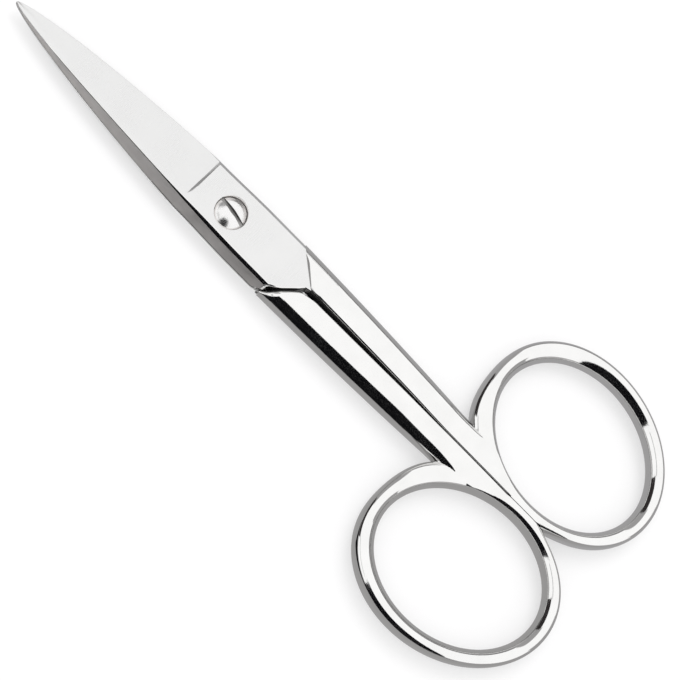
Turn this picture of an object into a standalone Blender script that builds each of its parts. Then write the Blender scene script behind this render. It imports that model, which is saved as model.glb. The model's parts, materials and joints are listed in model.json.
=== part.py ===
"""Straight nail scissors: two forged halves that turn on one countersunk pivot screw.

The scissors lie flat and closed, blades towards +Y and finger bows towards -Y, with the
origin under their middle. Both halves are the same forging: the lower half is the upper
half given half a turn about its long axis, so the blades cross and the shanks lie side by
side. A half is described as it lies on top, measured from the pivot axis: blade and plate
above the middle plane, shank and bow at +X and through the full thickness.
"""

import math

import bmesh
import bpy
from mathutils import Vector

# Heights, all set about the middle plane between the two halves
THICKNESS = 0.0035              # over both shanks, which carry the scissors on a table
PLATE_THICKNESS = 0.0016        # one half at the pivot
BOW_HEIGHT = 0.0030             # a finger bow's wire, top to bottom
FACE_GAP = 0.00005              # oil gap between the two inner faces

# Blade and pivot plate
BLADE_REACH = 0.03286           # pivot axis to the tip
PLATE_REACH = 0.0046            # pivot axis to the shoulder where the blade grind begins
INNER_HALF_WIDTH = 0.00375      # half the width of the inner face where the grind begins
PLATE_FLARE = 0.00017           # how much wider the inner face gets behind that
FLARE_RUN = 0.008               # length over which it widens
TIP_HALF_WIDTH = 0.0001
TIP_HEIGHT = 0.00022            # thickness of one blade at its tip
EDGE_LAND = 0.00012             # thickness left along the cutting edge
GRIND_RUN = 0.0003              # length of the sloping shoulder at the start of the grind
SPINE_STRIP = 0.0005            # unground strip along the spine
STRIP_LIMIT_SHARE = 0.35        # the strip never takes more of the blade's width than this
SPINE_LEAN_SHARE = 0.55         # how far the spine leans out, as a share of its height
EDGE_LEAN_SHARE = 0.275         # the same for the plate's wall above the cutting edge
SPINE_POWER_SHARE = 1.5         # how early the spine thins towards the tip
BELLY_POWER_SHARE = 1.225       # how early the outline narrows
POINT_POWER_SHARE = 0.68        # how blunt the outline is at the tip

# Shank, from the shoulder to the bow
SHANK_FRONT = 0.0066            # pivot axis to the foremost point of the shoulder
SHANK_STEP = 0.00017            # how far the shank stands out past the plate's side
SHANK_BACK = 0.03383            # pivot axis to where the bow leaves the shank
SHANK_BACK_REACH = 0.00319      # long axis to the outer side of the shank there
SHANK_BELLY = 0.00015           # how far the outer side bulges between the two
SHANK_GAP = 0.00056             # between the two shanks at the shoulder
SHANK_INNER_ROUND = 0.0003      # rounding of the edges along that gap
NOSE_RUN = 0.0009               # length over which the shank's front end rounds off
SHOULDER_LENGTH = 0.0068        # length of the slanting shoulder, along the handle
SHOULDER_GAP = 0.00028          # clearance in front of the other half's shoulder
CREASE_LAP = 0.00005            # how far plate and shank run into each other
FLATTEN_RUN = 0.0075            # length over which the shank thins to the bow's height
MERGE_RUN = 0.0036              # length over which the shank spreads into the bow
MERGE_SPREAD = 0.0013           # how much wider its flat top gets on the way
TAIL_SINK_SHARE = 0.12          # how much of its height the shank's tail loses in the bow

# Shoulder outline, from outside to the gap: share of the reach, share of the length
SHOULDER_SHARES = (
    (1.14, -0.06),
    (0.975, 0.10),
    (0.873, 0.25),
    (0.747, 0.368),
    (0.24, 0.676),
    (0.063, 0.824),
    (-0.013, 0.86),
)
PLATE_TAIL_SHARE = 0.90         # where the plate ends, as a share of the shoulder's length
# Crease where the ground plate meets the top of the shank, in the same shares
CREASE_SHARES = ((1.2, -0.04), (0.08, 0.80), (-0.3, 1.085))

# Finger bow: an oval ring of full, rounded wire, pressed flat where the two bows meet
BOW_HALF_LENGTH = 0.01129       # of the wire's centre line
BOW_HALF_WIDTH = 0.0090
BOW_LEAN = math.radians(-12.15)     # turn of the oval about its centre
BOW_CREST_OFFSET = 0.00083      # meeting plane to the wire's centre line, where they meet
WIRE_NEAR_WIDTH = 0.00234       # of the bow's wire, on the side towards the blades
WIRE_FAR_WIDTH = 0.0020         # at the bow's far end
WIRE_OUTER_WIDTH = 0.0020       # on the outer side
WIRE_MEETING_WIDTH = 0.0013     # where the two bows meet
WIRE_TURN = math.radians(75.4)  # where the wire is widest, round the bow
WIRE_POWER_SHARE = 2.1          # fullness of its section; 2 would be an ellipse
WIRE_CREST_SHARE = 0.08         # how far its crest lies outside its middle, of its width
BOW_GAP = 0.00008               # between the two bows where they meet
ROOT_FLARE = 0.00142            # how much wider the wire is where it leaves the shank
ROOT_TURN = math.radians(142)   # where that is, round the bow
ROOT_POWER_SHARE = 9            # how quickly the flare dies away

# Pivot screw
HEAD_RADIUS = 0.00180
HEAD_RIM = 0.00015              # straight rim above the cone
HEAD_EDGE_ROUND = 0.00012
JOURNAL_RADIUS = 0.00100        # where the upper half turns on it
THREAD_RADIUS = 0.00090         # where it is set in the lower half
TURNING_CLEARANCE = 0.00004     # upper half to screw, all round
SET_CLEARANCE = 0.00002         # lower half to screw, all round
HEAD_DROP = 0.00003             # top of the head below the plate's face
SLOT_WIDTH = 0.00034
SLOT_DEPTH = 0.00045
SLOT_TURN = math.radians(-10)   # from the long axis

# How finely round shapes are cut
BLADE_STATIONS = 22
FLARE_STATIONS = 6
SHANK_STATIONS = 36
ROUND_STEPS = 8
EDGE_STEPS = 2
BOW_STATIONS = 72
BOW_SIDES = 24
TURNED_STEPS = 48
CUT_OVERRUN = 0.002             # how far every cutter runs past what it cuts

MIDDLE = THICKNESS / 2
INNER_FACE = MIDDLE + FACE_GAP / 2
PLATE_TOP = INNER_FACE + PLATE_THICKNESS
PLATE_TAIL = SHANK_FRONT + SHOULDER_LENGTH * PLATE_TAIL_SHARE
SHANK_FRONT_REACH = INNER_HALF_WIDTH + PLATE_FLARE + SHANK_STEP
BOW_CENTRE_REACH = SHANK_BACK + BOW_HALF_LENGTH
BOW_CENTRE_OFFSET = BOW_HALF_WIDTH + BOW_CREST_OFFSET
BOW_REACH = math.hypot(BOW_HALF_LENGTH * math.cos(BOW_LEAN), BOW_HALF_WIDTH * math.sin(BOW_LEAN))
HANDLE_REACH = BOW_CENTRE_REACH + BOW_REACH + WIRE_FAR_WIDTH / 2
PIVOT_AHEAD = (HANDLE_REACH - BLADE_REACH) / 2      # origin to the pivot axis


def clear_scene():
    for thing in list(bpy.data.objects):
        bpy.data.objects.remove(thing, do_unlink=True)


def make_collection(name):
    collection = bpy.data.collections.new(name)
    bpy.context.scene.collection.children.link(collection)
    return collection


def steel(name, colour, roughness):
    material = bpy.data.materials.new(name)
    material.use_nodes = True
    shader = material.node_tree.nodes["Principled BSDF"]
    shader.inputs["Base Color"].default_value = (*colour, 1)
    shader.inputs["Metallic"].default_value = 1
    shader.inputs["Roughness"].default_value = roughness
    return material


def add_object(name, mesh, collection):
    thing = bpy.data.objects.new(name, mesh)
    collection.objects.link(thing)
    return thing


def as_tool(thing):
    """Marks a solid that only shapes another one."""
    thing.hide_render = True
    thing.display_type = "WIRE"
    return thing


def boolean(target, other, operation):
    modifier = target.modifiers.new(other.name, "BOOLEAN")
    modifier.operation = operation
    modifier.solver = "EXACT"
    modifier.object = other


def freeze(thing, name):
    """The object's evaluated mesh, in world space."""
    bpy.context.view_layer.update()
    graph = bpy.context.evaluated_depsgraph_get()
    mesh = bpy.data.meshes.new_from_object(thing.evaluated_get(graph))
    mesh.name = name
    mesh.transform(thing.matrix_world)
    return mesh


def ease(start, end, share):
    """Smooth step from start to end as share goes from 0 to 1, held outside."""
    held = min(1, max(0, share))
    return start + (end - start) * held * held * (3 - 2 * held)


def loft(name, sections, collection, closed=False):
    """A solid through sections that all have as many points, capped or in a ring."""
    shape = bmesh.new()
    rings = [[shape.verts.new(point) for point in section] for section in sections]
    count = len(rings[0])
    pairs = list(zip(rings, rings[1:]))
    if closed:
        pairs.append((rings[-1], rings[0]))
    else:
        shape.faces.new(rings[0])
        shape.faces.new(rings[-1])
    for first, second in pairs:
        for i in range(count):
            j = (i + 1) % count
            shape.faces.new((first[i], first[j], second[j], second[i]))
    bmesh.ops.recalc_face_normals(shape, faces=shape.faces)
    mesh = bpy.data.meshes.new(name)
    shape.to_mesh(mesh)
    shape.free()
    return as_tool(add_object(name, mesh, collection))


def prism(name, outline, bottom, top, collection):
    """A flat outline in the XY plane, extruded between two heights."""
    curve = bpy.data.curves.new(name, "CURVE")
    curve.dimensions = "2D"
    curve.fill_mode = "BOTH"
    curve.extrude = (top - bottom) / 2
    line = curve.splines.new("POLY")
    line.points.add(len(outline) - 1)
    for point, (x, y) in zip(line.points, outline):
        point.co = (x, y, 0, 1)
    line.use_cyclic_u = True
    rough = add_object(name, curve, collection)
    rough.location.z = (top + bottom) / 2
    mesh = freeze(rough, name)
    bpy.data.objects.remove(rough)
    shape = bmesh.new()
    shape.from_mesh(mesh)
    bmesh.ops.remove_doubles(shape, verts=shape.verts, dist=FACE_GAP / 50)
    bmesh.ops.recalc_face_normals(shape, faces=shape.faces)
    shape.to_mesh(mesh)
    shape.free()
    return as_tool(add_object(name, mesh, collection))


def turned(name, profile, collection):
    """Turns an outline of (radius, height) pairs, given from top to bottom, about Z."""
    mesh = bpy.data.meshes.new(name)
    points = [(radius, 0, height) for radius, height in profile]
    mesh.from_pydata(points, [(i, i + 1) for i in range(len(points) - 1)], [])
    thing = add_object(name, mesh, collection)
    spin = thing.modifiers.new("turn", "SCREW")
    spin.steps = TURNED_STEPS
    spin.render_steps = TURNED_STEPS
    spin.use_merge_vertices = True
    spin.merge_threshold = FACE_GAP / 50
    return thing


def half_width(reach):
    """Half the width of the inner face, at a distance from the pivot towards the tip."""
    share = min(1, (BLADE_REACH - reach) / (BLADE_REACH - PLATE_REACH))
    full = (1 - (1 - share) ** BELLY_POWER_SHARE) ** POINT_POWER_SHARE
    width = TIP_HALF_WIDTH + (INNER_HALF_WIDTH - TIP_HALF_WIDTH) * full
    return width + ease(0, PLATE_FLARE, (PLATE_REACH - reach) / FLARE_RUN)


def spine_height(reach):
    share = min(1, (BLADE_REACH - reach) / (BLADE_REACH - PLATE_REACH))
    full = 1 - (1 - share) ** SPINE_POWER_SHARE
    return TIP_HEIGHT + (PLATE_THICKNESS - TIP_HEIGHT) * full


def plate_section(reach, ground):
    """One cross-section of blade or plate; ground is False behind the grind's shoulder."""
    width = half_width(reach)
    height = spine_height(reach)
    spine = -width + min(SPINE_LEAN_SHARE * height, width)
    strip = spine + min(SPINE_STRIP, STRIP_LIMIT_SHARE * (width - spine))
    edge = width
    edge_height = EDGE_LAND
    if not ground:
        edge = width - EDGE_LEAN_SHARE * height
        edge_height = height
    corners = (
        (-width, -FACE_GAP),
        (-width, 0),
        (spine, height),
        (strip, height),
        (edge, edge_height),
        (width, 0),
        (width, -FACE_GAP),
    )
    return [Vector((x, reach, INNER_FACE + z)) for x, z in corners]


def blade_and_plate(collection):
    grind = PLATE_REACH + GRIND_RUN
    length = BLADE_REACH - grind
    sections = []
    for i in range(BLADE_STATIONS + 1):
        share = (i / BLADE_STATIONS) ** SPINE_POWER_SHARE
        sections.append(plate_section(BLADE_REACH - length * share, True))
    for i in range(FLARE_STATIONS + 1):
        sections.append(plate_section(PLATE_REACH - FLARE_RUN * i / FLARE_STATIONS, False))
    sections.append(plate_section(-PLATE_TAIL, False))
    return loft("blade_and_plate", sections, collection)


def bow_crest(reach):
    """Distance of the bow's centre line from the long axis, on the side near the axis."""
    along = BOW_CENTRE_REACH - reach
    sine = math.sin(BOW_LEAN)
    cosine = math.cos(BOW_LEAN)
    wide = 1 / BOW_HALF_WIDTH ** 2
    long = 1 / BOW_HALF_LENGTH ** 2
    a = cosine ** 2 * wide + sine ** 2 * long
    b = 2 * along * sine * cosine * (wide - long)
    c = along ** 2 * (sine ** 2 * wide + cosine ** 2 * long) - 1
    root = math.sqrt(max(0, b * b - 4 * a * c))
    return BOW_CENTRE_OFFSET + (-b - root) / (2 * a)


def shank_section(reach):
    """One cross-section of the shank: half round outside, nearly square at the gap."""
    run = min(1, (reach - SHANK_FRONT) / (SHANK_BACK - SHANK_FRONT))
    outer = SHANK_FRONT_REACH + (SHANK_BACK_REACH - SHANK_FRONT_REACH) * run
    outer += SHANK_BELLY * 4 * run * (1 - run)
    outer -= SHANK_STEP * (1 - min(1, (reach - SHANK_FRONT) / NOSE_RUN)) ** 2
    inner = (SHANK_GAP + (BOW_GAP - SHANK_GAP) * run) / 2
    half = ease(THICKNESS, BOW_HEIGHT, (reach - SHANK_BACK + FLATTEN_RUN) / FLATTEN_RUN) / 2
    round_out = half
    flat_end = outer - round_out
    if reach > SHANK_BACK:
        spread = (reach - SHANK_BACK) / MERGE_RUN
        flat_end = ease(flat_end, flat_end + MERGE_SPREAD, spread)
        flat_end = min(flat_end, bow_crest(reach))
        round_out = ease(round_out, WIRE_NEAR_WIDTH / 4, spread)
        half *= 1 - TAIL_SINK_SHARE * ease(0, 1, (spread - 1) / 2)
    edge = min(SHANK_INNER_ROUND, (flat_end - inner) / 2)
    quarter = math.pi / 2
    points = []
    for i in range(EDGE_STEPS + 1):
        turn = quarter * i / EDGE_STEPS
        points.append((inner + edge - edge * math.cos(turn), half - edge + edge * math.sin(turn)))
    for i in range(2 * ROUND_STEPS + 1):
        turn = quarter - quarter * i / ROUND_STEPS
        points.append((flat_end + round_out * math.cos(turn), half * math.sin(turn)))
    for i in range(EDGE_STEPS + 1):
        turn = quarter * i / EDGE_STEPS
        points.append((inner + edge - edge * math.sin(turn), edge - half - edge * math.cos(turn)))
    return [Vector((x, -reach, MIDDLE + z)) for x, z in points]


def shank(collection):
    end = BOW_CENTRE_REACH + WIRE_FAR_WIDTH / 2
    step = (end - SHANK_FRONT) / SHANK_STATIONS
    sections = [shank_section(SHANK_FRONT + step * i) for i in range(SHANK_STATIONS + 1)]
    return loft("shank", sections, collection)


def wire_width(turn):
    """Width of the bow's wire, which swells and thins between four named widths."""
    away = turn - WIRE_TURN
    along = WIRE_NEAR_WIDTH + WIRE_FAR_WIDTH
    across = WIRE_OUTER_WIDTH + WIRE_MEETING_WIDTH
    width = (along + across) / 4 + (along - across) / 4 * math.cos(2 * away)
    width += (WIRE_NEAR_WIDTH - WIRE_FAR_WIDTH) / 2 * math.cos(away)
    return width - (WIRE_OUTER_WIDTH - WIRE_MEETING_WIDTH) / 2 * math.sin(away)


def full_turn(amount):
    """A sine or cosine, made fuller for the wire's section."""
    return math.copysign(abs(amount) ** (2 / WIRE_POWER_SHARE), amount)


def bow_section(turn):
    """One cross-section of the bow's wire, wider on the outside near the root."""
    sine = math.sin(BOW_LEAN)
    cosine = math.cos(BOW_LEAN)
    flat = Vector((BOW_HALF_WIDTH * math.cos(turn), BOW_HALF_LENGTH * math.sin(turn)))
    away = Vector((BOW_HALF_LENGTH * math.cos(turn), BOW_HALF_WIDTH * math.sin(turn))).normalized()
    spot = Vector((flat.x * cosine - flat.y * sine, flat.x * sine + flat.y * cosine))
    normal = Vector((away.x * cosine - away.y * sine, away.x * sine + away.y * cosine))
    spot += Vector((BOW_CENTRE_OFFSET, -BOW_CENTRE_REACH))
    flare = ROOT_FLARE * max(0, math.cos(turn - ROOT_TURN)) ** ROOT_POWER_SHARE
    points = []
    crest = wire_width(turn) * WIRE_CREST_SHARE
    for i in range(BOW_SIDES):
        around = 2 * math.pi * i / BOW_SIDES
        width = wire_width(turn) / 2 + crest
        if math.cos(around) > 0:
            width = wire_width(turn) / 2 - crest + flare
        flat_point = spot + normal * (crest + width * full_turn(math.cos(around)))
        height = MIDDLE + full_turn(math.sin(around)) * BOW_HEIGHT / 2
        points.append(Vector((flat_point.x, flat_point.y, height)))
    return points


def bow(collection):
    sections = [bow_section(2 * math.pi * i / BOW_STATIONS) for i in range(BOW_STATIONS)]
    return loft("bow", sections, collection, closed=True)


def shoulder_line(side, ahead):
    """The shoulder's outline in plan, at +X or -X, moved ahead by a clearance."""
    points = []
    for across, along in SHOULDER_SHARES:
        x = side * across * SHANK_FRONT_REACH
        y = -SHANK_FRONT - along * SHOULDER_LENGTH + ahead
        points.append((x, y))
    return points


def crease_line(back):
    """Where the ground plate ends, moved back by a lap."""
    points = []
    for across, along in CREASE_SHARES:
        x = across * SHANK_FRONT_REACH
        y = -SHANK_FRONT - along * SHOULDER_LENGTH - back
        points.append((x, y))
    return points


def tool_reach():
    """How far out to the side, and how far back, the tools at the shoulder run."""
    return SHANK_FRONT_REACH + CUT_OVERRUN, SHANK_FRONT + 2 * SHOULDER_LENGTH


def relief_tool(collection):
    """Takes away all that lies under the inner face, ahead of this half's own shoulder."""
    far, back = tool_reach()
    front = BLADE_REACH + CUT_OVERRUN
    line = shoulder_line(1, 0)
    outline = [(-far, front), (far, front), (far, line[0][1])] + line
    outline += [(line[-1][0], -back), (-far, -back)]
    return prism("relief", outline, -CUT_OVERRUN, INNER_FACE, collection)


def clearance_tool(collection):
    """Takes away the corner of the plate that the other half's shoulder needs."""
    far, back = tool_reach()
    line = shoulder_line(-1, SHOULDER_GAP)
    outline = [(-far, line[0][1])] + line + [(line[-1][0], -back), (-far, -back)]
    return prism("shoulder_clearance", outline, 0, PLATE_TOP + CUT_OVERRUN, collection)


def plate_end_tool(collection):
    """Ends the plate just behind the crease, inside the shank."""
    far, back = tool_reach()
    line = crease_line(CREASE_LAP)
    outline = [(far, line[0][1])] + line + [(line[-1][0], -back), (far, -back)]
    return prism("plate_end", outline, 0, PLATE_TOP + CUT_OVERRUN, collection)


def crease_tool(collection):
    """Ends the upper part of the shank where the ground plate begins."""
    far, back = tool_reach()
    line = crease_line(0)
    bottom = INNER_FACE - FACE_GAP / 2
    outline = [(-far, 0), (far, 0), (far, line[0][1])] + line + [(-far, line[-1][1])]
    return prism("crease", outline, bottom, THICKNESS + CUT_OVERRUN, collection)


def meeting_tool(collection):
    """Takes away whatever reaches past the plane where the two bows meet."""
    front = -SHANK_FRONT - SHOULDER_LENGTH
    near = BOW_GAP / 2
    outline = [(-BOW_HALF_WIDTH, front), (near, front), (near, -HANDLE_REACH)]
    outline.append((-BOW_HALF_WIDTH, -HANDLE_REACH))
    return prism("meeting", outline, -CUT_OVERRUN, THICKNESS + CUT_OVERRUN, collection)


def forge(tools):
    """The forging both halves are made from, as a mesh, before the pivot hole."""
    whole = blade_and_plate(tools)
    handle = shank(tools)
    ring = bow(tools)
    boolean(whole, clearance_tool(tools), "DIFFERENCE")
    boolean(whole, plate_end_tool(tools), "DIFFERENCE")
    boolean(handle, crease_tool(tools), "DIFFERENCE")
    boolean(ring, meeting_tool(tools), "DIFFERENCE")
    boolean(whole, handle, "UNION")
    boolean(whole, ring, "UNION")
    boolean(whole, relief_tool(tools), "DIFFERENCE")
    mesh = freeze(whole, "forging")
    mesh.shade_smooth()
    mesh.set_sharp_from_angle(angle=math.radians(22))
    return mesh


def head_bottom():
    return PLATE_TOP - HEAD_DROP - HEAD_RIM - (HEAD_RADIUS - JOURNAL_RADIUS)


def pivot_hole(tools):
    """Countersunk hole in the upper half."""
    gap = TURNING_CLEARANCE
    top = PLATE_TOP + CUT_OVERRUN
    profile = (
        (0, top),
        (HEAD_RADIUS + gap, top),
        (HEAD_RADIUS + gap, PLATE_TOP - HEAD_DROP - HEAD_RIM),
        (JOURNAL_RADIUS + gap, head_bottom()),
        (JOURNAL_RADIUS + gap, -CUT_OVERRUN),
        (0, -CUT_OVERRUN),
    )
    return as_tool(turned("pivot_hole", profile, tools))


def thread_hole(tools):
    """Hole in the lower half, where the screw is set."""
    radius = THREAD_RADIUS + SET_CLEARANCE
    top = THICKNESS + CUT_OVERRUN
    profile = ((0, top), (radius, top), (radius, -CUT_OVERRUN), (0, -CUT_OVERRUN))
    return as_tool(turned("thread_hole", profile, tools))


def slot(tools):
    """Cutter for the screwdriver slot."""
    top = PLATE_TOP - HEAD_DROP
    length = 2 * (HEAD_RADIUS + CUT_OVERRUN)
    bpy.ops.mesh.primitive_cube_add(size=1)
    cutter = bpy.context.object
    cutter.name = "slot"
    cutter.location = (0, 0, top - SLOT_DEPTH / 2 + CUT_OVERRUN / 2)
    cutter.rotation_euler.z = SLOT_TURN
    cutter.scale = (SLOT_WIDTH, length, SLOT_DEPTH + CUT_OVERRUN)
    for holder in list(cutter.users_collection):
        holder.objects.unlink(cutter)
    tools.objects.link(cutter)
    return as_tool(cutter)


def pivot_screw(parts):
    top = PLATE_TOP - HEAD_DROP
    bottom = THICKNESS - PLATE_TOP
    profile = (
        (0, top),
        (HEAD_RADIUS - HEAD_EDGE_ROUND, top),
        (HEAD_RADIUS, top - HEAD_EDGE_ROUND),
        (HEAD_RADIUS, top - HEAD_RIM),
        (JOURNAL_RADIUS, head_bottom()),
        (JOURNAL_RADIUS, INNER_FACE),
        (THREAD_RADIUS, INNER_FACE - FACE_GAP),
        (THREAD_RADIUS, bottom + HEAD_EDGE_ROUND),
        (THREAD_RADIUS - HEAD_EDGE_ROUND, bottom),
        (0, bottom),
    )
    return turned("pivot_screw", profile, parts)


def build():
    clear_scene()
    parts = make_collection("nail_scissors")
    tools = make_collection("tools")
    forging = forge(tools)
    forging.materials.append(steel("polished_nickel", (0.82, 0.81, 0.80), 0.12))
    pivot = add_object("pivot", None, parts)
    upper = add_object("upper_half", forging, parts)
    boolean(upper, pivot_hole(tools), "DIFFERENCE")
    lower = add_object("lower_half", forging, parts)
    lower.rotation_euler.y = math.pi
    lower.location.z = THICKNESS
    boolean(lower, thread_hole(tools), "DIFFERENCE")
    screw = pivot_screw(parts)
    screw.data.materials.append(steel("screw_steel", (0.80, 0.80, 0.80), 0.16))
    boolean(screw, slot(tools), "DIFFERENCE")
    for thing in list(parts.objects) + list(tools.objects):
        if thing != pivot:
            thing.parent = pivot
    pivot.location.y = PIVOT_AHEAD


build()
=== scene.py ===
# Straight nail scissors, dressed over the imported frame: two forged halves and their screw.
# Every shape is worked out in millimetres from the pivot, then scaled and moved into the frame.
import json
import math

import bmesh
import bpy
from mathutils import Matrix, Vector
from mathutils.kdtree import KDTree

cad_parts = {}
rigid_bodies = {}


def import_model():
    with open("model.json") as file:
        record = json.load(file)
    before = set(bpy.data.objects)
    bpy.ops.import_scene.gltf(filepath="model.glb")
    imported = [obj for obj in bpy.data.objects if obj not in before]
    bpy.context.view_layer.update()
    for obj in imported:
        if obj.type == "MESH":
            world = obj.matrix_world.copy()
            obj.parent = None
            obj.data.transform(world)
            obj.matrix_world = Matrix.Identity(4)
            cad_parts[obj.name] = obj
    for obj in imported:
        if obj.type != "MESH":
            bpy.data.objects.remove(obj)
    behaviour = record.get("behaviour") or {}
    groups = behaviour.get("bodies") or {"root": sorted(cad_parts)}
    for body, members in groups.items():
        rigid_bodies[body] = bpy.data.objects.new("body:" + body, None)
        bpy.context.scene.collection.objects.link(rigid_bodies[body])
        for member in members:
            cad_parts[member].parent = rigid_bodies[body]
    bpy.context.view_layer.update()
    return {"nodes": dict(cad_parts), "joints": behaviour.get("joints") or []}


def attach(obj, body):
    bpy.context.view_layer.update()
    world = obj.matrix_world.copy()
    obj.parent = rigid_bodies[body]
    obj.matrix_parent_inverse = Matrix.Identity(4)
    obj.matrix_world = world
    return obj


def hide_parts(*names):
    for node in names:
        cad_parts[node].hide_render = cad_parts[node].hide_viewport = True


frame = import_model()
pivotAhead = frame["joints"][0]["pos_m"][1]     # the pivot's axis, ahead of the frame's origin
toFrame = Matrix.Translation((0, pivotAhead, 0)) @ Matrix.Scale(0.001, 4)
print("frame loaded:", ", ".join(sorted(frame["nodes"])))

# heights over the table, shared by both halves
height = {"whole": 3.5, "plate": 1.6, "bow": 3.0, "faceGap": 0.05}
middle = height["whole"] / 2
innerFace = middle + height["faceGap"] / 2
plateTop = innerFace + height["plate"]
pastCut = 2.0       # how far a cutter runs past what it cuts
workBench = bpy.data.collections.new("workBench")
bpy.context.scene.collection.children.link(workBench)


# small shaping helpers

def ease(start, end, share):
    # a smooth step from start to end while share runs from 0 to 1
    held = min(1, max(0, share))
    return start + (end - start) * held * held * (3 - 2 * held)


def newPiece(name, mesh):
    piece = bpy.data.objects.new(name, mesh)
    workBench.objects.link(piece)
    return piece


def closedPiece(name, shape):
    bmesh.ops.recalc_face_normals(shape, faces=shape.faces)
    mesh = bpy.data.meshes.new(name)
    shape.to_mesh(mesh)
    shape.free()
    return newPiece(name, mesh)


def skin(name, sections, ring=False):
    # a closed solid through sections with equally many points
    shape = bmesh.new()
    rows = [[shape.verts.new(point) for point in section] for section in sections]
    count = len(rows[0])
    pairs = list(zip(rows, rows[1:]))
    if ring:
        pairs.append((rows[-1], rows[0]))
    else:
        shape.faces.new(rows[0])
        shape.faces.new(rows[-1])
    for first, second in pairs:
        for i in range(count):
            j = (i + 1) % count
            shape.faces.new((first[i], first[j], second[j], second[i]))
    return closedPiece(name, shape)


def wall(name, layers):
    # a cutter whose outline in plan changes from layer to layer: (height, outline)
    return skin(name, [[Vector((x, y, z)) for x, y in outline] for z, outline in layers])


def turned(name, profile, steps):
    # a solid turned about the pivot from (radius, height) pairs that run from axis to axis
    shape = bmesh.new()
    angles = [2 * math.pi * i / steps for i in range(steps)]
    rows = []
    for radius, z in profile:
        if radius == 0:
            rows.append([shape.verts.new((0, 0, z))])
        else:
            rows.append([shape.verts.new((radius * math.cos(a), radius * math.sin(a), z)) for a in angles])
    for first, second in zip(rows, rows[1:]):
        for i in range(steps):
            j = (i + 1) % steps
            corners = [first[i % len(first)], first[j % len(first)]]
            corners += [second[j % len(second)], second[i % len(second)]]
            shape.faces.new(dict.fromkeys(corners))     # a point on the axis counts once
    return closedPiece(name, shape)


def combine(target, tool, operation):
    modifier = target.modifiers.new(tool.name, "BOOLEAN")
    modifier.operation = operation
    modifier.solver = "EXACT"
    modifier.object = tool
    tool.hide_render = True


def finishedMesh(piece, name):
    bpy.context.view_layer.update()
    graph = bpy.context.evaluated_depsgraph_get()
    mesh = bpy.data.meshes.new_from_object(piece.evaluated_get(graph))
    mesh.name = name
    return mesh


def roundedSection(corners):
    # corners are (x, z, how far the rounding runs along each side, steps round it)
    points = []
    for i, (x, z, run, steps) in enumerate(corners):
        here = Vector((x, z))
        if not steps:
            points.append(here)
            continue
        before = Vector(corners[i - 1][:2]) - here
        after = Vector(corners[(i + 1) % len(corners)][:2]) - here
        reach = min(run, 0.45 * before.length, 0.45 * after.length)     # leaves room for the next one
        start = here + before.normalized() * reach
        end = here + after.normalized() * reach
        for k in range(steps + 1):
            t = k / steps
            points.append(start * (1 - t) ** 2 + here * 2 * t * (1 - t) + end * t * t)
    return points


def smoothLine(points, steps):
    # a Catmull-Rom curve through points in plan
    line = []
    ends = [points[0]] + list(points) + [points[-1]]
    for i in range(1, len(ends) - 2):
        a, b, c, d = (Vector(p) for p in ends[i - 1:i + 3])
        square = 2 * a - 5 * b + 4 * c - d
        cube = 3 * b - a - 3 * c + d
        for k in range(steps):
            t = k / steps
            spot = 2 * b + (c - a) * t + square * t * t + cube * t ** 3
            line.append(tuple(spot / 2))
    line.append(tuple(points[-1]))
    return line


# blade and pivot plate

blade = {
    "reach": 32.86,             # pivot to tip
    "plateReach": 4.6,          # pivot to the shoulder of the grind
    "innerHalfWidth": 3.75,
    "plateFlare": 0.17,         # the plate widens by this towards the handle
    "flareRun": 8.0,
    "tipHalfWidth": 0.1,
    "tipHeight": 0.22,
    "edgeLand": 0.12,           # thickness left along the cutting edge
    "grindDrop": 0.33,          # run of the steep part of the grind's shoulder
    "dropPower": 0.8,
    "grindLeft": 0.14,          # share of the depth that fades out ahead of it
    "grindFade": 3.2,
    "fadePower": 2.5,
    "hollow": 0.035,            # how far the ground face sinks between strip and edge
    "spineStrip": 0.5,          # the flat left beside the spine
    "plateStrip": 0.7,          # added to it on the plate
    "stripLimit": 0.35,
    "stripRound": 0.06,
    "spineLean": 0.65,
    "edgeLean": 0.50,
    "edgeOver": 0.10,           # how far the edge side is wider than the spine side
    "edgeOverRun": 10,
    "spinePower": 1.5,
    "bellyPower": 1.225,
    "pointPower": 0.68,
    "edgeRound": 0.14,          # rounding of the plate's edges
    "spineRound": 0.38,         # of the spine's top edge on the plate
    "spineRoundTip": 0.08,      # and towards the tip
    "roundFadeFrom": -1,        # where the one begins to run into the other, ahead of the pivot
    "roundFadeRun": 11,
    "lowRound": 0.3,            # of the spine's lower edge
    "lowLift": 0.01,            # keeps that edge clear of the inner face
    "stations": 64,
    "stationPower": 1.2,        # brings the stations closer together towards the tip
    "plateSteps": 12,
    "tail": 12.72,              # pivot to the hidden end of the plate
}


def alongBlade(reach):
    # 0 at the tip, 1 where the plate begins
    return min(1, (blade["reach"] - reach) / (blade["reach"] - blade["plateReach"]))


def halfWidth(reach):
    full = (1 - (1 - alongBlade(reach)) ** blade["bellyPower"]) ** blade["pointPower"]
    width = blade["tipHalfWidth"] + (blade["innerHalfWidth"] - blade["tipHalfWidth"]) * full
    return width + ease(0, blade["plateFlare"], (blade["plateReach"] - reach) / blade["flareRun"])


def spineHeight(reach):
    full = 1 - (1 - alongBlade(reach)) ** blade["spinePower"]
    return blade["tipHeight"] + (height["plate"] - blade["tipHeight"]) * full


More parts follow.
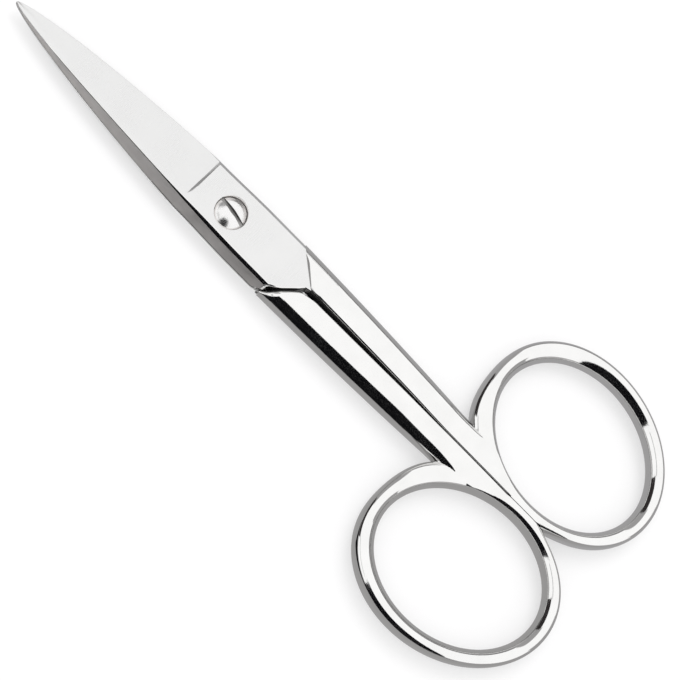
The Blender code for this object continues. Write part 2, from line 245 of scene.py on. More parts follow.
def plateSection(reach, ground):
    # ground runs from 0 on the plate to 1 on the blade
    width = halfWidth(reach)
    top = spineHeight(reach)
    spine = -width + min(blade["spineLean"] * top, width)
    broad = blade["spineStrip"] + (1 - ground) * blade["plateStrip"]
    strip = spine + min(broad, blade["stripLimit"] * (width - spine))
    edgeFoot = width + blade["edgeOver"] * ease(0, 1, (blade["reach"] - reach) / blade["edgeOverRun"])
    edge = edgeFoot - blade["edgeLean"] * top * (1 - ground)
    edgeTop = top + (blade["edgeLand"] - top) * ground
    low = min(blade["lowRound"], width)
    lift = blade["lowLift"]
    fade = (reach - blade["roundFadeFrom"]) / blade["roundFadeRun"]
    soft = ease(blade["spineRound"], blade["spineRoundTip"], fade)
    corners = [(low - width, -height["faceGap"], 0, 0), (low - width, lift, 0, 0), (-width, 2 * lift, low, 3)]
    corners += [(spine, top, soft, 6), (strip, top, blade["stripRound"], 2)]
    for share in (0.2, 0.4, 0.6, 0.8):
        sunk = blade["hollow"] * ground * 4 * share * (1 - share)
        corners.append((strip + (edge - strip) * share, top + (edgeTop - top) * share - sunk, 0, 0))
    corners.append((edge, edgeTop, blade["edgeRound"], 3))
    corners += [(edgeFoot, 0, 0, 0), (edgeFoot, -height["faceGap"], 0, 0)]
    return [Vector((p.x, reach, innerFace + p.y)) for p in roundedSection(corners)]


def bladeAndPlate():
    start = blade["plateReach"] + blade["grindDrop"]
    length = blade["reach"] - start
    sections = []
    for i in range(blade["stations"] + 1):
        reach = blade["reach"] - length * (i / blade["stations"]) ** blade["stationPower"]
        fade = (1 - min(1, (reach - start) / blade["grindFade"])) ** blade["fadePower"]
        sections.append(plateSection(reach, 1 - blade["grindLeft"] * fade))
    for share in (0.25, 0.5, 0.75):     # foot of the grind's shoulder, rounded
        reach = start - blade["grindDrop"] * share
        sections.append(plateSection(reach, (1 - blade["grindLeft"]) * (1 - share ** blade["dropPower"])))
    for i in range(blade["plateSteps"] + 1):
        reach = blade["plateReach"] - blade["flareRun"] * i / blade["plateSteps"]
        sections.append(plateSection(reach, 0))
    sections.append(plateSection(-blade["tail"], 0))
    return skin("bladeAndPlate", sections)


# finger bow

bow = {
    "halfLength": 11.29,        # of the wire's centre line
    "halfWidth": 9.0,
    "lean": math.radians(-12.15),
    "centreBack": 45.12,        # pivot to the bow's centre
    "centreAside": 9.83,
    "near": 2.34,               # width of the wire towards the blades
    "far": 2.0,
    "outer": 2.0,
    "meeting": 1.3,
    "wideTurn": math.radians(75.4),
    "fullOut": 2.7,             # power of the section's oval on its outside; 2 is an ellipse
    "fullIn": 1.7,              # and towards the finger
    "crestOut": 0.08,           # share of the width by which the crest lies nearer the outside
    "gap": 0.08,                # between the two bows
    "rootFlare": 1.42,          # fills the wire out where the shank runs into it
    "rootTurn": math.radians(142),
    "rootPower": 9,
    "meetingFlare": 1.1,        # and out to the plane where the bows meet
    "meetingPower": 30,
    "stations": 180,
    "sides": 40,
}


def wireWidth(turn):
    away = turn - bow["wideTurn"]
    along = bow["near"] + bow["far"]
    across = bow["outer"] + bow["meeting"]
    width = (along + across) / 4 + (along - across) / 4 * math.cos(2 * away)
    width += (bow["near"] - bow["far"]) / 2 * math.cos(away)
    return width - (bow["outer"] - bow["meeting"]) / 2 * math.sin(away)


def fullTurn(amount, power):
    return math.copysign(abs(amount) ** (2 / power), amount)


def leaned(point):
    sine = math.sin(bow["lean"])
    cosine = math.cos(bow["lean"])
    return Vector((point.x * cosine - point.y * sine, point.x * sine + point.y * cosine))


def bowSection(turn):
    spot = leaned(Vector((bow["halfWidth"] * math.cos(turn), bow["halfLength"] * math.sin(turn))))
    away = Vector((bow["halfLength"] * math.cos(turn), bow["halfWidth"] * math.sin(turn))).normalized()
    normal = leaned(away)
    spot += Vector((bow["centreAside"], -bow["centreBack"]))
    flare = bow["rootFlare"] * max(0, math.cos(turn - bow["rootTurn"])) ** bow["rootPower"]
    flare += bow["meetingFlare"] * max(0, math.cos(turn - math.pi + bow["lean"])) ** bow["meetingPower"]
    crest = wireWidth(turn) * bow["crestOut"]
    points = []
    for i in range(bow["sides"]):
        around = 2 * math.pi * i / bow["sides"]
        width = wireWidth(turn) / 2 + crest
        power = bow["fullIn"]
        if math.cos(around) > 0:
            width += flare - 2 * crest
            power = bow["fullOut"]
        side = spot + normal * (crest + width * fullTurn(math.cos(around), power))
        rise = fullTurn(math.sin(around), power) * height["bow"] / 2
        points.append(Vector((side.x, side.y, middle + rise)))
    return points


def bowRing():
    turns = [2 * math.pi * i / bow["stations"] for i in range(bow["stations"])]
    return skin("bowRing", [bowSection(turn) for turn in turns], ring=True)


def bowCrest(reach):
    # how far the wire's centre line is from the long axis, on the side near the axis
    along = bow["centreBack"] - reach
    sine = math.sin(bow["lean"])
    cosine = math.cos(bow["lean"])
    wide = 1 / bow["halfWidth"] ** 2
    long = 1 / bow["halfLength"] ** 2
    a = cosine ** 2 * wide + sine ** 2 * long
    b = 2 * along * sine * cosine * (wide - long)
    c = along ** 2 * (sine ** 2 * wide + cosine ** 2 * long) - 1
    return bow["centreAside"] + (-b - math.sqrt(max(0, b * b - 4 * a * c))) / (2 * a)


# shank

shank = {
    "front": 6.6,               # pivot to the nose of the shoulder
    "frontReach": 4.03,         # long axis to the outer side there
    "step": 0.17,               # the nose stands in by this
    "noseRun": 0.9,
    "back": 33.83,
    "backReach": 3.19,
    "belly": 0.15,
    "gap": 0.70,                # between the two shanks at the shoulder
    "innerRound": 0.3,          # rounding of the edges along the gap, at the front
    "innerRoundBack": 0.15,     # and at the back
    "roundFadeFrom": 20,
    "roundFadeRun": 18,
    "flattenRun": 7.5,
    "mergeRun": 4.8,
    "mergeSpread": 0.75,
    "tailSink": 0.12,
    "roundSteps": 16,
    "innerSteps": 5,
    "plainStations": [10, 14, 18, 22, 26],      # far apart, so that the cuts stay clean
    "blendFrom": 26.6,
    "blendSteps": 60,
}


def alongShank(reach):
    return min(1, max(0, (reach - shank["front"]) / (shank["back"] - shank["front"])))


def outerReach(reach):
    run = alongShank(reach)
    outer = shank["frontReach"] + (shank["backReach"] - shank["frontReach"]) * run
    outer += shank["belly"] * 4 * run * (1 - run)
    nose = min(1, max(0, (reach - shank["front"]) / shank["noseRun"]))
    return outer - shank["step"] * (1 - nose) ** 2


def shankSection(reach):
    run = alongShank(reach)
    outer = outerReach(reach)
    inner = (shank["gap"] + (bow["gap"] - shank["gap"]) * run) / 2
    half = ease(height["whole"], height["bow"], (reach - shank["back"]) / shank["flattenRun"] + 1) / 2
    roundOut = half
    flatEnd = outer - roundOut
    if reach > shank["back"]:
        spread = (reach - shank["back"]) / shank["mergeRun"]
        flatEnd = min(ease(flatEnd, flatEnd + shank["mergeSpread"], spread), bowCrest(reach))
        roundOut = ease(roundOut, bow["near"] / 4, spread)
        half *= 1 - shank["tailSink"] * ease(0, 1, (spread - 1) / 2)
    fade = (reach - shank["roundFadeFrom"]) / shank["roundFadeRun"]
    edge = min(ease(shank["innerRound"], shank["innerRoundBack"], fade), (flatEnd - inner) / 2)
    quarter = math.pi / 2
    points = []
    for i in range(shank["innerSteps"] + 1):
        turn = quarter * i / shank["innerSteps"]
        points.append((inner + edge - edge * math.cos(turn), half - edge + edge * math.sin(turn)))
    for i in range(2 * shank["roundSteps"] + 1):
        turn = quarter - quarter * i / shank["roundSteps"]
        points.append((flatEnd + roundOut * math.cos(turn), half * math.sin(turn)))
    for i in range(shank["innerSteps"] + 1):
        turn = quarter * i / shank["innerSteps"]
        points.append((inner + edge - edge * math.sin(turn), edge - half - edge * math.cos(turn)))
    return [Vector((x, -reach, middle + z)) for x, z in points]


def shankBar():
    nose = [shank["front"], shank["front"] + shank["noseRun"]]
    start = shank["blendFrom"]
    end = bow["centreBack"] + bow["far"] / 2
    steps = shank["blendSteps"]
    blended = [start + (end - start) * i / steps for i in range(steps + 1)]
    return skin("shankBar", [shankSection(reach) for reach in nose + shank["plainStations"] + blended])


# shoulder, where the halves pass each other

# Its lines are pairs of shares: of the shank's reach to the outer side, and of the shoulder's length.
shoulder = {
    "length": 6.8,
    "gap": 0.55,                # clearance in front of the other half's shoulder
    "lipLine": ((1.14, -0.06), (0.975, 0.10), (0.873, 0.25), (0.747, 0.368), (0.24, 0.69),
                (0.165, 0.78), (0.125, 0.88), (0.09, 1.03), (0.03, 1.28)),
    "plateLine": ((1.14, -0.03), (0.975, 0.13), (0.873, 0.30), (0.747, 0.40), (0.24, 0.69),
                  (0.142, 0.75), (0.017, 0.81), (-0.03, 0.875), (-0.056, 0.955), (-0.073, 1.115)),
    "crease": ((1.2, 0.25), (0.92, 0.25), (0.80, 0.275), (0.08, 0.80), (-0.3, 1.085)),
    "lineSteps": 6,
    "creaseLap": 0.05,
    "creaseRun": (0.6, 0.08),   # run of its slope at the outer side and in the middle
    "lipRound": (0.32, 0.95),   # rolled lip of the shoulder, along the gap and at the outer side
    "lipRoundFrom": 0.9,        # where the one begins to run into the other, beside the long axis
    "lipRoundRun": 2.6,
    "lipSteps": 7,
    "lipStart": math.radians(8),
    "lipEnd": math.radians(56),
    "lipOver": 0.05,            # how far over the shank's surface the lip's slope runs on
    "lipSlant": 1.8,            # most by which a slanting wall moves the lip further back
    "flatShare": 0.3,           # share of the length where the end of the shank's flat top is taken
    "columnGap": 0.1,           # least room that the lip's columns leave beside that end
    "sideSteps": 18,
    "settleRounds": 6,
    "sameSpot": 0.00001,
    "cutterLap": 0.01,          # by which the two cutters under and ahead of the shoulder overlap
    "cornerRound": 0.24,
    "noseRound": (1.0, 1.25),   # depth and width of the plate's rounded corner at the spine
    "noseFrom": 0.5,            # share of the shank's reach where that corner begins
    "noseSpread": 0.42,
}


def shoulderLine(spots, side, ahead):
    points = []
    for across, along in spots:
        points.append((side * across * shank["frontReach"], -shank["front"] - along * shoulder["length"]))
    return [(x, y + ahead) for x, y in smoothLine(points, shoulder["lineSteps"])]


def creaseLine(back):
    # back is how far the line is moved back at its outer side and in the middle
    spots = []
    for across, along in shoulder["crease"]:
        share = min(1, max(0, 1 - across))
        moved = back[0] + (back[1] - back[0]) * share
        spots.append((across * shank["frontReach"], -shank["front"] - along * shoulder["length"] - moved))
    return spots


def cutterReach():
    return shank["frontReach"] + pastCut, shank["front"] + 2 * shoulder["length"]


def underCutter():
    # clears the space under the inner face, beside this half's own shank
    far, back = cutterReach()
    side = shoulder["lipLine"][-1][0] * shank["frontReach"] + shoulder["cutterLap"]
    front = blade["reach"] + pastCut
    outline = [(-far, front), (side, front), (side, -back), (-far, -back)]
    return wall("underCutter", [(-pastCut, outline), (innerFace, outline)])


def lipRows(x):
    # pairs of the depth in the shank and how far back the cut is there, from above its surface down
    radius = ease(shoulder["lipRound"][0], shoulder["lipRound"][1],
                  (x - shoulder["lipRoundFrom"]) / shoulder["lipRoundRun"])
    start = shoulder["lipStart"]
    end = shoulder["lipEnd"]
    runOn = (shoulder["lipOver"] + radius * (1 - math.cos(start))) / math.tan(start)
    outside = radius * (math.sin(end) - math.sin(start)) + runOn
    rows = [(-pastCut, outside), (-shoulder["lipOver"], outside)]
    for k in range(shoulder["lipSteps"] + 1):
        turn = start + (end - start) * k / shoulder["lipSteps"]
        rows.append((radius * (1 - math.cos(turn)), radius * (math.sin(end) - math.sin(turn))))
    return rows


def lipCutter():
    # clears the space ahead of the shoulder, and leaves its lip rolled into the shank's surface
    line = sorted(shoulderLine(shoulder["lipLine"], 1, 0))
    front = blade["reach"] + pastCut

    def wallAt(x):
        # the wall's place at x, and how much further back its slant moves the lip
        if x >= line[-1][0]:
            return line[-1][1], 1
        held = max(x, line[0][0])
        spot = max(i for i in range(len(line) - 1) if line[i][0] <= held)
        (x0, y0), (x1, y1) = line[spot:spot + 2]
        rise = (y1 - y0) / (x1 - x0)
        return y0 + rise * (held - x0), min(shoulder["lipSlant"], math.hypot(1, rise))

    # columns round the shank's surface: x, z, the way into the steel and where the cut ends inside
    sideRound = middle
    flatEnd = outerReach(shank["front"] + shoulder["length"] * shoulder["flatShare"]) - sideRound
    columns = [(x, 0, 0, 1, x) for x, y in line if x < flatEnd - shoulder["columnGap"]]
    columns.append((flatEnd, 0, 0, 1, flatEnd))
    for i in range(1, shoulder["sideSteps"] + 1):
        turn = math.pi / 2 * i / shoulder["sideSteps"]
        out = sideRound * math.sin(turn)
        up = sideRound - sideRound * math.cos(turn)
        side = flatEnd
        for k in range(shoulder["settleRounds"]):       # finds the shank's side where the wall is
            side = outerReach(-wallAt(side + out)[0]) - sideRound
        columns.append((side + out, up, -math.sin(turn), math.cos(turn), flatEnd))
    columns.append((side + sideRound, innerFace, -1, 0, flatEnd))

    sections = []
    for x, z, inX, inZ, endX in columns:
        section = []
        for depth, moved in lipRows(x):
            y, slant = wallAt(x + inX * depth)
            section.append(Vector((x + inX * depth, y - moved * slant, z + inZ * depth)))
        section.append(Vector((endX, wallAt(endX)[0], innerFace)))
        section.append(Vector((endX, front, innerFace)))
        section.append(Vector((section[0].x, front, section[0].z)))
        sections.append(section)
    cutter = skin("lipCutter", sections)
    shape = bmesh.new()
    shape.from_mesh(cutter.data)
    bmesh.ops.remove_doubles(shape, verts=shape.verts, dist=shoulder["sameSpot"])
    bmesh.ops.recalc_face_normals(shape, faces=shape.faces)
    shape.to_mesh(cutter.data)
    shape.free()
    return cutter


def clearanceCutter():
    # takes the corner off the plate that the other half's shoulder needs
    far, back = cutterReach()
    corner = shoulder["cornerRound"]
    deep, broad = shoulder["noseRound"]
    # height, share of the edge's rounding and share of the nose's rounding
    steps = [(0, 0, 0), (plateTop - deep, 0, 0), (plateTop - corner, 0, 0.75)]
    steps += [(plateTop - corner * 0.35, 0.35, 0.92), (plateTop, 1, 1), (plateTop + pastCut, 1, 1)]
    layers = []
    for z, rim, nose in steps:
        line = []
        for x, y in shoulderLine(shoulder["plateLine"], -1, shoulder["gap"]):
            outer = ease(0, 1, (-x / shank["frontReach"] - shoulder["noseFrom"]) / shoulder["noseSpread"])
            line.append((x, y + rim * corner + nose * broad * outer))
        outline = [(-far, line[0][1])] + line + [(line[-1][0], -back), (-far, -back)]
        layers.append((z, outline))
    return wall("clearanceCutter", layers)


def plateEndCutter():
    far, back = cutterReach()
    lap = shoulder["creaseLap"]
    line = creaseLine((lap, lap))
    outline = [(far, line[0][1])] + line + [(line[-1][0], -back), (far, -back)]
    return wall("plateEndCutter", [(0, outline), (plateTop + pastCut, outline)])


def creaseCutter():
    # ends the upper part of the shank where the ground plate begins, with a sloping face
    far = cutterReach()[0]
    top = height["whole"]
    run = shoulder["creaseRun"]
    layers = []
    for z, moved in ((middle, (0, 0)), (plateTop, (0, 0)), (top, run), (top + pastCut, run)):
        line = creaseLine(moved)
        layers.append((z, [(-far, 0), (far, 0), (far, line[0][1])] + line + [(-far, line[-1][1])]))
    return wall("creaseCutter", layers)


def meetingCutter():
    # keeps the bow on its own side of the plane where the two bows meet
    front = -shank["front"] - shoulder["length"]
    end = -bow["centreBack"] - 2 * bow["halfLength"]
    near = bow["gap"] / 2
    far = -bow["halfWidth"]
    outline = [(far, front), (near, front), (near, end), (far, end)]
    return wall("meetingCutter", [(-pastCut, outline), (height["whole"] + pastCut, outline)])


root = {
    "from": -33.2, "to": -43.5,         # where the shank runs into the bow
    "keepOff": 0.34,                    # the edges along the gap stay crisp
    "valley": math.radians(7),          # least bend of an edge that counts as the valley
    "spread": 0.3,
    "rounds": 3,
    "pull": 0.5,
    "sameSpot": 0.002,
}


def softenRoot(mesh):
    # rounds the valley between shank and bow, and melts their tops into each other
    shape = bmesh.new()
    shape.from_mesh(mesh)
    bmesh.ops.remove_doubles(shape, verts=shape.verts, dist=root["sameSpot"])
    marks = []
    for edge in shape.edges:
        spot = (edge.verts[0].co + edge.verts[1].co) / 2
        if root["to"] < spot.y < root["from"] and spot.x > root["keepOff"] and edge.is_manifold:
            if edge.calc_face_angle_signed(0) < -root["valley"]:
                marks.append(spot)
    tree = KDTree(len(marks))
    for i, spot in enumerate(marks):
        tree.insert(spot, i)
    tree.balance()
    loose = []
    for point in shape.verts:
        if marks and point.co.x > root["keepOff"] and tree.find(point.co)[2] < root["spread"]:
            loose.append(point)
    everyWay = {"use_axis_x": True, "use_axis_y": True, "use_axis_z": True}
    for i in range(root["rounds"]):
        bmesh.ops.smooth_vert(shape, verts=loose, factor=root["pull"], **everyWay)
    shape.to_mesh(mesh)
    shape.free()
    print("root softened:", len(marks), "marks,", len(loose), "points")


def forging():
    # the forging that both halves are made from, before the pivot hole
    plate = bladeAndPlate()
    handle = shankBar()
    ring = bowRing()
    combine(ring, meetingCutter(), "DIFFERENCE")
    combine(handle, ring, "UNION")
    grip = newPiece("grip", finishedMesh(handle, "grip"))
    softenRoot(grip.data)
    combine(grip, creaseCutter(), "DIFFERENCE")
    combine(plate, clearanceCutter(), "DIFFERENCE")
    combine(plate, plateEndCutter(), "DIFFERENCE")
    combine(plate, grip, "UNION")
    combine(plate, underCutter(), "DIFFERENCE")
    combine(plate, lipCutter(), "DIFFERENCE")
    return finishedMesh(plate, "forging")


# pivot screw and its holes

screw = {
    "headRadius": 1.88,
    "rim": 0.62,
    "edgeRound": 0.32,
    "edgeSteps": 5,
    "edgeFall": (0.3, 0.35),    # shares of it by which the head's edge falls at first and in the end
    "journal": 1.00,
    "thread": 0.90,
    "threadStep": 0.02,         # height of the step down from journal to thread
    "chamfer": 0.05,            # at the screw's lower end
    "turningGap": 0.05,
    "setGap": 0.02,
    "drop": 0.03,               # the cone's rim below the plate's top
    "proud": 0.12,              # the polished head's middle above the plate
    "domeRadius": 3.1,
    "domeSteps": 18,
    "slotWidth": 0.46,
    "slotAside": 0.24,
    "slotDepth": 0.68,
    "slotTurn": math.radians(-10),
    "slotRound": 0.05,
    "slotFloorRound": 0.08,
    "holeRound": 0.08,
    "steps": 96,
}


def headBottom():
    return plateTop - screw["drop"] - screw["rim"] - (screw["headRadius"] - screw["journal"])


def pivotHole():
    gap = screw["turningGap"]
    top = plateTop + pastCut
    mouth = screw["headRadius"] + gap
    soft = screw["holeRound"]       # the rim is rounded in two steps
    profile = [(0, top), (mouth + soft, top), (mouth + soft, plateTop)]
    profile += [(mouth + soft * 0.3, plateTop - soft * 0.3), (mouth, plateTop - soft)]
    profile += [(mouth, plateTop - screw["drop"] - screw["rim"])]
    profile += [(screw["journal"] + gap, headBottom()), (screw["journal"] + gap, -pastCut), (0, -pastCut)]
    return turned("pivotHole", profile, screw["steps"])


def threadHole():
    radius = screw["thread"] + screw["setGap"]
    top = height["whole"] + pastCut
    return turned("threadHole", [(0, top), (radius, top), (radius, -pastCut), (0, -pastCut)], screw["steps"])


def slotCutter(top):
    # rounded along its upper edges and its floor
    half = screw["slotWidth"] / 2
    lip = screw["slotRound"]
    floor = screw["slotFloorRound"]
    bottom = top - screw["slotDepth"]
    clear = top + 1
    corners = [(-half, bottom, floor, 3), (half, bottom, floor, 3), (half, top - lip, lip, 3)]
    corners += [(half + lip, top, 0, 0), (half + lip, clear, 0, 0), (-half - lip, clear, 0, 0)]
    corners += [(-half - lip, top, 0, 0), (-half, top - lip, lip, 3)]
    section = roundedSection(corners)
    reach = screw["headRadius"] + pastCut
    cutter = skin("slotCutter", [[Vector((p.x, y, p.y)) for p in section] for y in (-reach, reach)])
    cutter.rotation_euler.z = screw["slotTurn"]
    cutter.location.x = screw["slotAside"]
    return cutter


def pivotScrew():
    top = plateTop + screw["proud"]
    low = height["whole"] - plateTop + screw["drop"]
    dome = screw["domeRadius"]
    soft = screw["edgeRound"]
    flat = screw["headRadius"] - soft
    profile = [(0, top)]
    for i in range(1, screw["domeSteps"] + 1):
        radius = flat * i / screw["domeSteps"]
        profile.append((radius, top - dome + math.sqrt(dome ** 2 - radius ** 2)))
    edge = profile[-1][1]
    first, last = screw["edgeFall"]
    for i in range(1, screw["edgeSteps"] + 1):
        turn = math.pi / 2 * i / screw["edgeSteps"]
        fall = soft * (first * math.sin(turn) + last * (1 - math.cos(turn)))
        profile.append((flat + soft * math.sin(turn), edge - fall))
    profile.append((screw["headRadius"], plateTop - screw["drop"] - screw["rim"]))
    profile.append((screw["journal"], headBottom()))
    profile.append((screw["journal"], middle))
    profile.append((screw["thread"], middle - screw["threadStep"]))
    profile.append((screw["thread"], low + screw["chamfer"]))
    profile += [(screw["thread"] - screw["chamfer"], low), (0, low)]
    piece = turned("screwBlank", profile, screw["steps"])
    combine(piece, slotCutter(top), "DIFFERENCE")
    return finishedMesh(piece, "pivotScrew")


# metal finishes: grain is the lines of the finish per metre on each axis, mottle the scale of its clouds

finishes = {
    "polishedNickel": {
        "colour": (0.74, 0.737, 0.73), "roughness": (0.06, 0.11),
        "grain": (2500, 900, 2500), "grainDepth": 0.25, "mottle": 420},
    "groundSteel": {
        "colour": (0.672, 0.671, 0.668), "roughness": (0.24, 0.34),
        "grain": (700, 14000, 700), "grainDepth": 0.5, "mottle": 260},
    "satinSpine": {
        "colour": (0.86, 0.835, 0.82), "roughness": (0.38, 0.5),
        "grain": (9000, 900, 9000), "grainDepth": 0.6, "mottle": 500},
    # painted shade: a dark steel that stands in for the shade in creases, at the spine's foot, along the gap
    # between the shanks and in the screw's slot
    "paintedShadeSteel": {
        "colour": (0.30, 0.295, 0.29), "roughness": (0.35, 0.5),
        "grain": (900, 900, 9000), "grainDepth": 0.5, "mottle": 500},
    # painted shade: a near-black steel that stands in for the deep shade in the seam at the shoulder
    "paintedDeepShadeSteel": {
        "colour": (0.075, 0.073, 0.07), "roughness": (0.4, 0.55),
        "grain": (900, 900, 9000), "grainDepth": 0.5, "mottle": 500},
    "turnedSteel": {
        "colour": (0.74, 0.735, 0.73), "roughness": (0.16, 0.26),
        "grain": (3000, 3000, 3000), "grainDepth": 0.4, "mottle": 900},
}
noise = {
    "both": (0.7, 1.3),         # the range of lines and clouds together that the roughness spans
    "clouds": (0.3, 0.7),       # and of the clouds alone that the tint spans
    "tint": (0.975, 1.02),
    "bumpHeight": 0.00001,
}


def linked(tree, kind, inputs, **settings):
    # a new node, its inputs set to values or joined to other nodes
    node = tree.nodes.new(kind)
    for name, value in settings.items():
        setattr(node, name, value)
    for name, value in inputs:
        if isinstance(value, bpy.types.NodeSocket):
            tree.links.new(value, node.inputs[name])
        else:
            node.inputs[name].default_value = value
    return node


def remapped(tree, value, fromRange, toRange):
    inputs = [("Value", value), ("From Min", fromRange[0]), ("From Max", fromRange[1])]
    inputs += [("To Min", toRange[0]), ("To Max", toRange[1])]
    return linked(tree, "ShaderNodeMapRange", inputs).outputs["Result"]


def metal(name, finish):
    material = bpy.data.materials.new(name)
    material.use_nodes = True
    tree = material.node_tree
    shader = tree.nodes["Principled BSDF"]
    shader.inputs["Metallic"].default_value = 1
    place = tree.nodes.new("ShaderNodeTexCoord").outputs["Object"]
    stretch = linked(tree, "ShaderNodeMapping", [("Vector", place), ("Scale", finish["grain"])])
    inputs = [("Vector", stretch.outputs["Vector"]), ("Scale", 1), ("Detail", 4), ("Roughness", 0.62)]
    lines = linked(tree, "ShaderNodeTexNoise", inputs).outputs["Fac"]
    inputs = [("Vector", place), ("Scale", finish["mottle"]), ("Detail", 3), ("Roughness", 0.5)]
    clouds = linked(tree, "ShaderNodeTexNoise", inputs).outputs["Fac"]
    both = linked(tree, "ShaderNodeMath", [(0, lines), (1, clouds)], operation="ADD").outputs[0]
    rough = remapped(tree, both, noise["both"], finish["roughness"])
    tree.links.new(rough, shader.inputs["Roughness"])
    tint = remapped(tree, clouds, noise["clouds"], noise["tint"])
    shade = linked(tree, "ShaderNodeMix", [("Factor", 1.0)], data_type="RGBA", blend_type="MULTIPLY")
    shade.inputs[6].default_value = (*finish["colour"], 1)
    tree.links.new(tint, shade.inputs[7])
    tree.links.new(shade.outputs[2], shader.inputs["Base Color"])
    inputs = [("Height", lines), ("Strength", finish["grainDepth"]), ("Distance", noise["bumpHeight"])]
    bump = linked(tree, "ShaderNodeBump", inputs)
    tree.links.new(bump.outputs["Normal"], shader.inputs["Normal"])
    return material


steel = {name: metal(name, finish) for name, finish in finishes.items()}
halfFinishes = ("polishedNickel", "groundSteel", "satinSpine", "paintedDeepShadeSteel", "paintedShadeSteel")


def over(limit):
    return limit, math.inf


def under(limit):
    return -math.inf, limit


# Where the finishes lie on the upper half, in millimetres from the pivot. A zone bounds a face's place
# (x, y, z), its distance from the pivot (away) and the way it faces (right, ahead, up). The first zone
# that fits counts, and what fits none is polished nickel.
finishZones = (
    # painted shade: the dark line at the spine's foot, where the two halves meet
    ("paintedShadeSteel", {
        "x": under(-1), "y": (-10.5, 8.5), "z": (innerFace, innerFace + 0.17), "right": under(-0.5)}),
    # the spine
    ("satinSpine", {
        "x": under(-blade["tipHalfWidth"]), "y": over(-10), "z": over(innerFace),
        "right": under(-0.8), "up": over(0.2)}),
    # the walls of the pivot hole
    ("satinSpine", {
        "away": under(screw["headRadius"] + 0.2), "z": over(innerFace), "up": under(0.8)}),
    # painted shade darkens the crease across the plate
    ("paintedShadeSteel", {
        "x": over(0.2), "y": (-12.2, -7), "z": over(plateTop - 0.001),
        "right": (-0.96, -0.1), "ahead": over(0.05), "up": (0.2, 0.97)}),
    # painted shade darkens the wall along the gap between the shanks
    ("paintedShadeSteel", {"x": (0, 0.5), "y": (-34, -11.8), "right": under(-0.9)}),
    # painted shade darkens the seam at the shoulder, over and under the inner face
    ("paintedDeepShadeSteel", {
        "x": over(-3.3), "y": (-13.6, -6.7), "z": (innerFace, plateTop - 0.3),
        "right": under(0), "ahead": under(-0.25), "up": (-0.3, 0.3)}),
    ("paintedDeepShadeSteel", {
        "x": over(-3.3), "y": (-13.6, -6.7), "z": under(innerFace),
        "ahead": over(0.25), "up": (-0.3, 0.3)}),
    # the spine's rolled top edge
    ("polishedNickel", {
        "x": under(-1), "z": over(innerFace),
        "right": (-0.8, -0.1), "ahead": (-0.12, 0.12), "up": over(0.3)}),
    # blade and plate, and the plate's tongue beside the crease
    ("groundSteel", {"y": over(-shank["front"] - 0.2), "z": over(innerFace - 0.01)}),
    ("groundSteel", {"y": over(-14), "z": (innerFace - 0.01, plateTop + 0.004), "up": over(0.9)}),
)


def finishAt(centre, normal):
    face = {
        "x": centre.x, "y": centre.y, "z": centre.z, "away": math.hypot(centre.x, centre.y),
        "right": normal.x, "ahead": normal.y, "up": normal.z,
    }
    for name, zone in finishZones:
        if all(low < face[key] < high for key, (low, high) in zone.items()):
            return name
    return "polishedNickel"


def paintHalf(mesh):
    # in the upper half's own place, still in millimetres from the pivot
    for name in halfFinishes:
        mesh.materials.append(steel[name])
    for face in mesh.polygons:
        face.material_index = halfFinishes.index(finishAt(face.center, face.normal))


def paintScrew(mesh):
    # the slot's walls and floor are painted darker than the turned head, as painted shade in the slot
    mesh.materials.append(steel["turnedSteel"])
    mesh.materials.append(steel["paintedShadeSteel"])
    floor = plateTop + screw["proud"] - screw["slotDepth"]
    lowest = floor - 0.01
    highest = plateTop + screw["proud"] - 0.06      # leaves the slot's rounded rim bright
    floorBend = floor + 0.12                        # below it every face is the slot's
    within = screw["headRadius"] * 0.9
    steep = 0.3
    for face in mesh.polygons:
        centre = face.center
        inside = abs(centre.x) < within and abs(centre.y) < within and lowest < centre.z < highest
        if inside and (abs(face.normal.z) < steep or centre.z < floorBend):
            face.material_index = 1


def shadeMetal(piece, sharpDegrees):
    piece.data.shade_smooth()
    piece.data.set_sharp_from_angle(angle=math.radians(sharpDegrees))
    modifier = piece.modifiers.new("even shading", "WEIGHTED_NORMAL")
    modifier.mode = "FACE_AREA"
    modifier.weight = 100
    modifier.keep_sharp = True


def halfPiece(name, blank, hole, flip, node, body):
    worked = newPiece(name + "Blank", blank.copy())
    combine(worked, hole, "DIFFERENCE")
    mesh = finishedMesh(worked, name)
    paintHalf(mesh)
    if flip:
        mesh.transform(Matrix.Translation((0, 0, height["whole"])) @ Matrix.Rotation(math.pi, 4, "Y"))
    mesh.transform(toFrame)
    piece = bpy.data.objects.new(name, mesh)
    bpy.context.scene.collection.objects.link(piece)
    shadeMetal(piece, sharpDegrees=24)
    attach(piece, body)
    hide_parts(node)
    print(name, "made:", len(mesh.polygons), "faces")


blank = forging()
print("forging made:", len(blank.polygons), "faces")
halfPiece("upperHalf", blank, pivotHole(), False, "upper_half", "upper_half")
halfPiece("lowerHalf", blank, threadHole(), True, "lower_half", "lower_half")

screwMesh = pivotScrew()
paintScrew(screwMesh)
screwMesh.transform(toFrame)
screwPiece = bpy.data.objects.new("countersunkScrew", screwMesh)
bpy.context.scene.collection.objects.link(screwPiece)
shadeMetal(screwPiece, sharpDegrees=30)
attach(screwPiece, "lower_half")
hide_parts("pivot_screw")
print("screw made:", len(screwMesh.polygons), "faces")

for leftover in list(workBench.objects):
    bpy.data.objects.remove(leftover, do_unlink=True)
bpy.data.collections.remove(workBench)


# table, light and camera, in metres

